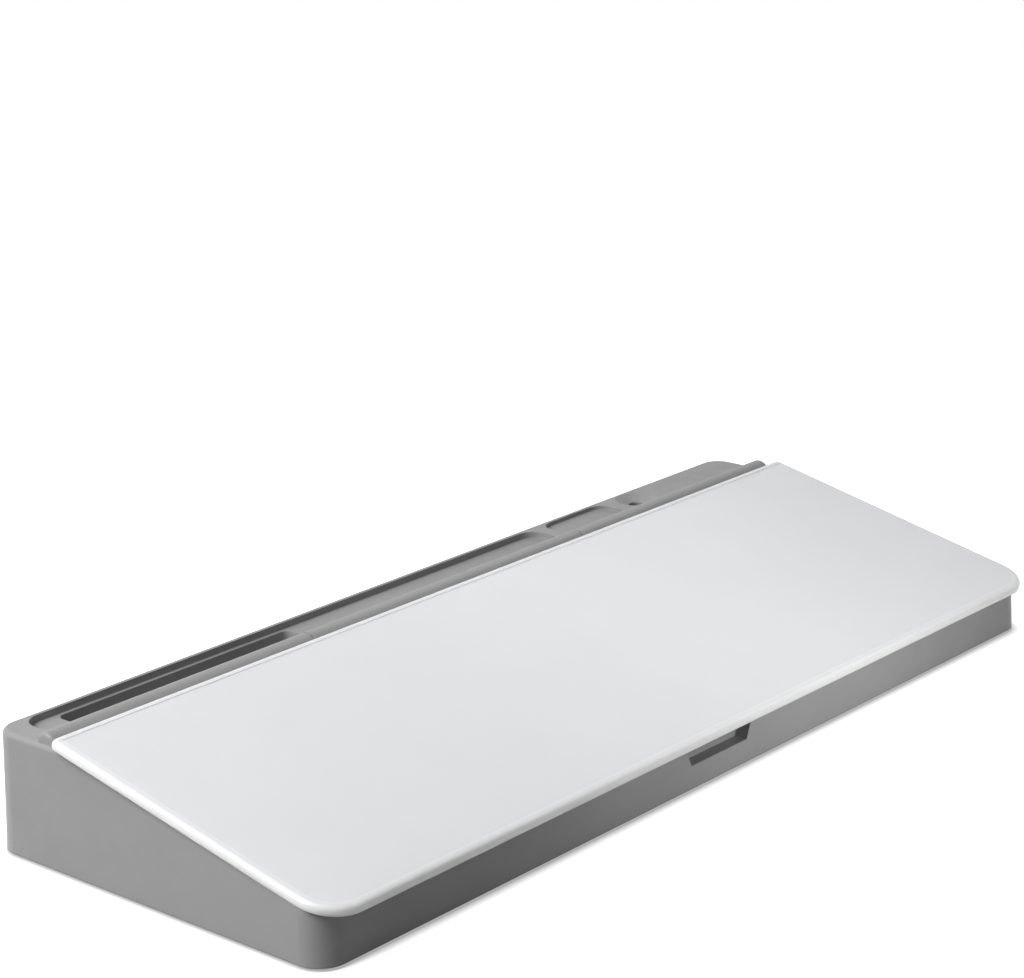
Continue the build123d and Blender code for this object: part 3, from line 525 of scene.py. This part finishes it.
def dress_base():
    """Housing, cover, hinge, and the board with what lies behind its glass."""
    grey = moulded_plastic("grey_moulding", MID_GREY, roughness=0.44, grain_height=0.014 * MM,
                           edge=0.6 * MM, Specular_IOR_Level=0.32)
    dark = moulded_plastic("cover_moulding", DARK_GREY, roughness=0.6,
                           grain_height=0.035 * MM, edge=0.45 * MM)
    dress("base_housing", grey)
    dress("hinge_plate", grey)
    dress("bottom_cover", dark)
    dress("cover_screws", turned_steel("zinc_screw", ZINC_GREY, roughness=0.34))
    dress("rubber_feet", foot_rubber("foot_rubber"))
    dress("hinge_pins", turned_steel("ground_pin", GROUND_STEEL, roughness=0.22))
    dress("adhesive_tape", foam_tape("foam_tape"))
    dress("steel_sheet", enamelled_steel("white_enamel"))
    make_glass()


def dress_eraser():
    """Eraser, and the magnet between its foam and its felt."""
    make_eraser()
    dress("eraser_magnet", turned_steel("eraser_magnet", MAGNET_NICKEL, roughness=0.28))


def dress_markers():
    """The three markers, alike but for the colour of their ink."""
    barrel = glossy_plastic("black_barrel", BARREL_BLACK, roughness=0.14,
                            Specular_IOR_Level=0.12)
    white = glossy_plastic("white_print", PRINT_WHITE, roughness=0.3)
    holder = glossy_plastic("white_holder", HOLDER_WHITE, roughness=0.35)
    magnet = turned_steel("cap_magnet", MAGNET_NICKEL, roughness=0.25)
    for colour, ink in INK_COLOURS.items():
        bright = glossy_plastic(f"{colour}_plastic", ink, roughness=0.15)
        make_stripes(colour, white)
        dress(f"{colour}_marker_barrel", barrel)
        dress(f"{colour}_marker_end_plug", bright)
        dress(f"{colour}_marker_cap", bright)
        dress(f"{colour}_marker_cap_magnet", magnet)
        dress(f"{colour}_marker_nib_holder", holder)
        dress(f"{colour}_marker_nib", fibre_nib(f"{colour}_nib", shade(ink, 0.7)))
        dress(f"{colour}_marker_ink_reservoir", fibre_nib(f"{colour}_wick", NIB_CREAM))


# ------------------------------------------------------------ stage and lights
def seen_directly(surroundings):
    """1 for rays that show the background: straight, mirrored or through glass."""
    rays = add(surroundings, "LightPath")
    seen = rays.outputs["Is Camera Ray"]
    for kind in ("Is Glossy Ray", "Is Transmission Ray"):
        seen = add(surroundings, "Math", {0: seen, 1: rays.outputs[kind]},
                   operation="MAXIMUM").outputs["Value"]
    return seen


def floor_finish():
    """Pale floor that keeps the object's shadow, darkens close to the object with a painted
    contact shadow, and fades to plain white further out.
    """
    material = bpy.data.materials.new("pale_floor")
    material.use_nodes = True
    tree = material.node_tree
    tree.nodes.clear()
    # painted shadow: ambient occlusion darkens the floor's colour close to the object
    open_sky = add(material, "AmbientOcclusion", {"Distance": CONTACT_REACH},
                   samples=CONTACT_SAMPLES)
    tone = two_tone(material, open_sky.outputs["AO"], shade(FLOOR_PALE, CONTACT_SHADOW_DARK),
                    FLOOR_PALE, *CONTACT_OPEN)
    pale = add(material, "BsdfDiffuse", {"Color": tone})
    lift = add(material, "Emission", {"Color": tone, "Strength": FLOOR_LIFT})
    lifted = add(material, "AddShader")
    tree.links.new(pale.outputs[0], lifted.inputs[0])
    tree.links.new(lift.outputs[0], lifted.inputs[1])
    white = add(material, "Emission", {"Color": PURE_WHITE, "Strength": 1.0})
    reach = add(material, "VectorMath", {"Vector": place(material)}, operation="LENGTH")
    far = between(material, reach.outputs["Value"], 0.0, 1.0, *FLOOR_FADE)
    shown = add(material, "MixShader", {"Fac": far})
    tree.links.new(lifted.outputs[0], shown.inputs[1])
    tree.links.new(white.outputs[0], shown.inputs[2])
    plain = add(material, "BsdfDiffuse", {"Color": (*FLOOR_BOUNCE, 1.0)})
    choice = add(material, "MixShader", {"Fac": seen_directly(material)})
    tree.links.new(plain.outputs[0], choice.inputs[1])
    tree.links.new(shown.outputs[0], choice.inputs[2])
    output = add(material, "OutputMaterial")
    tree.links.new(choice.outputs[0], output.inputs["Surface"])
    return material


def make_floor():
    """Flat floor just under the feet, which isn't part of the object."""
    mesh = bpy.data.meshes.new("floor")
    shape = bmesh.new()
    bmesh.ops.create_grid(shape, x_segments=1, y_segments=1, size=FLOOR_SIZE / 2)
    bmesh.ops.translate(shape, vec=(0.0, 0.0, -FLOOR_DROP), verts=shape.verts)
    shape.to_mesh(mesh)
    shape.free()
    floor = bpy.data.objects.new("floor", mesh)
    floor.data.materials.append(floor_finish())
    bpy.context.scene.collection.objects.link(floor)


def hang(data, spot, aim):
    """Puts a lamp in the room, facing a point."""
    lamp = bpy.data.objects.new(data.name, data)
    lamp.location = spot
    lamp.rotation_euler = (Vector(aim) - Vector(spot)).to_track_quat("-Z", "Y").to_euler()
    bpy.context.scene.collection.objects.link(lamp)


def soft_lamp(name, spot, aim, width, height, power):
    """Rectangular softbox."""
    data = bpy.data.lights.new(name, "AREA")
    data.shape = "RECTANGLE"
    data.size = width
    data.size_y = height
    data.energy = power
    hang(data, spot, aim)


def light_room():
    """Dim even room light that looks white to the camera, softboxes and a narrow fill."""
    world = bpy.data.worlds.new("studio")
    bpy.context.scene.world = world
    world.use_nodes = True
    tree = world.node_tree
    tree.nodes.clear()
    level = between(world, seen_directly(world), ROOM_LEVEL, 1.0, start=0.0, end=1.0)
    glow = add(world, "Background", {"Color": PURE_WHITE, "Strength": level})
    output = add(world, "OutputWorld")
    tree.links.new(glow.outputs[0], output.inputs["Surface"])
    soft_lamp("left_softbox", **LEFT_SOFTBOX)
    soft_lamp("top_softbox", **TOP_SOFTBOX)
    fill = bpy.data.lights.new("front_fill", "SPOT")
    fill.energy = FILL_POWER
    fill.shadow_soft_size = FILL_SIZE
    fill.spot_size = FILL_CONE
    fill.spot_blend = 1.0
    hang(fill, FILL_SPOT, FILL_AIM)


def make_camera():
    """Camera that looks at the target from the left, in front and above."""
    data = bpy.data.cameras.new("camera")
    data.sensor_width = FILM_WIDTH
    data.lens = FOCAL_LENGTH
    data.clip_end = CAMERA_REACH
    camera = bpy.data.objects.new("camera", data)
    out = Vector((math.sin(CAMERA_AZIMUTH) * math.cos(CAMERA_ELEVATION),
                  -math.cos(CAMERA_AZIMUTH) * math.cos(CAMERA_ELEVATION),
                  math.sin(CAMERA_ELEVATION)))
    camera.location = CAMERA_TARGET + out * CAMERA_DISTANCE
    camera.rotation_mode = "QUATERNION"
    camera.rotation_quaternion = ((-out).to_track_quat("-Z", "Y")
                                  @ Quaternion((0.0, 0.0, 1.0), CAMERA_ROLL))
    bpy.context.scene.collection.objects.link(camera)
    bpy.context.scene.camera = camera


bpy.context.scene.view_settings.view_transform = "Standard"
make_camera()
make_floor()
light_room()
dress_base()
dress_eraser()
dress_markers()
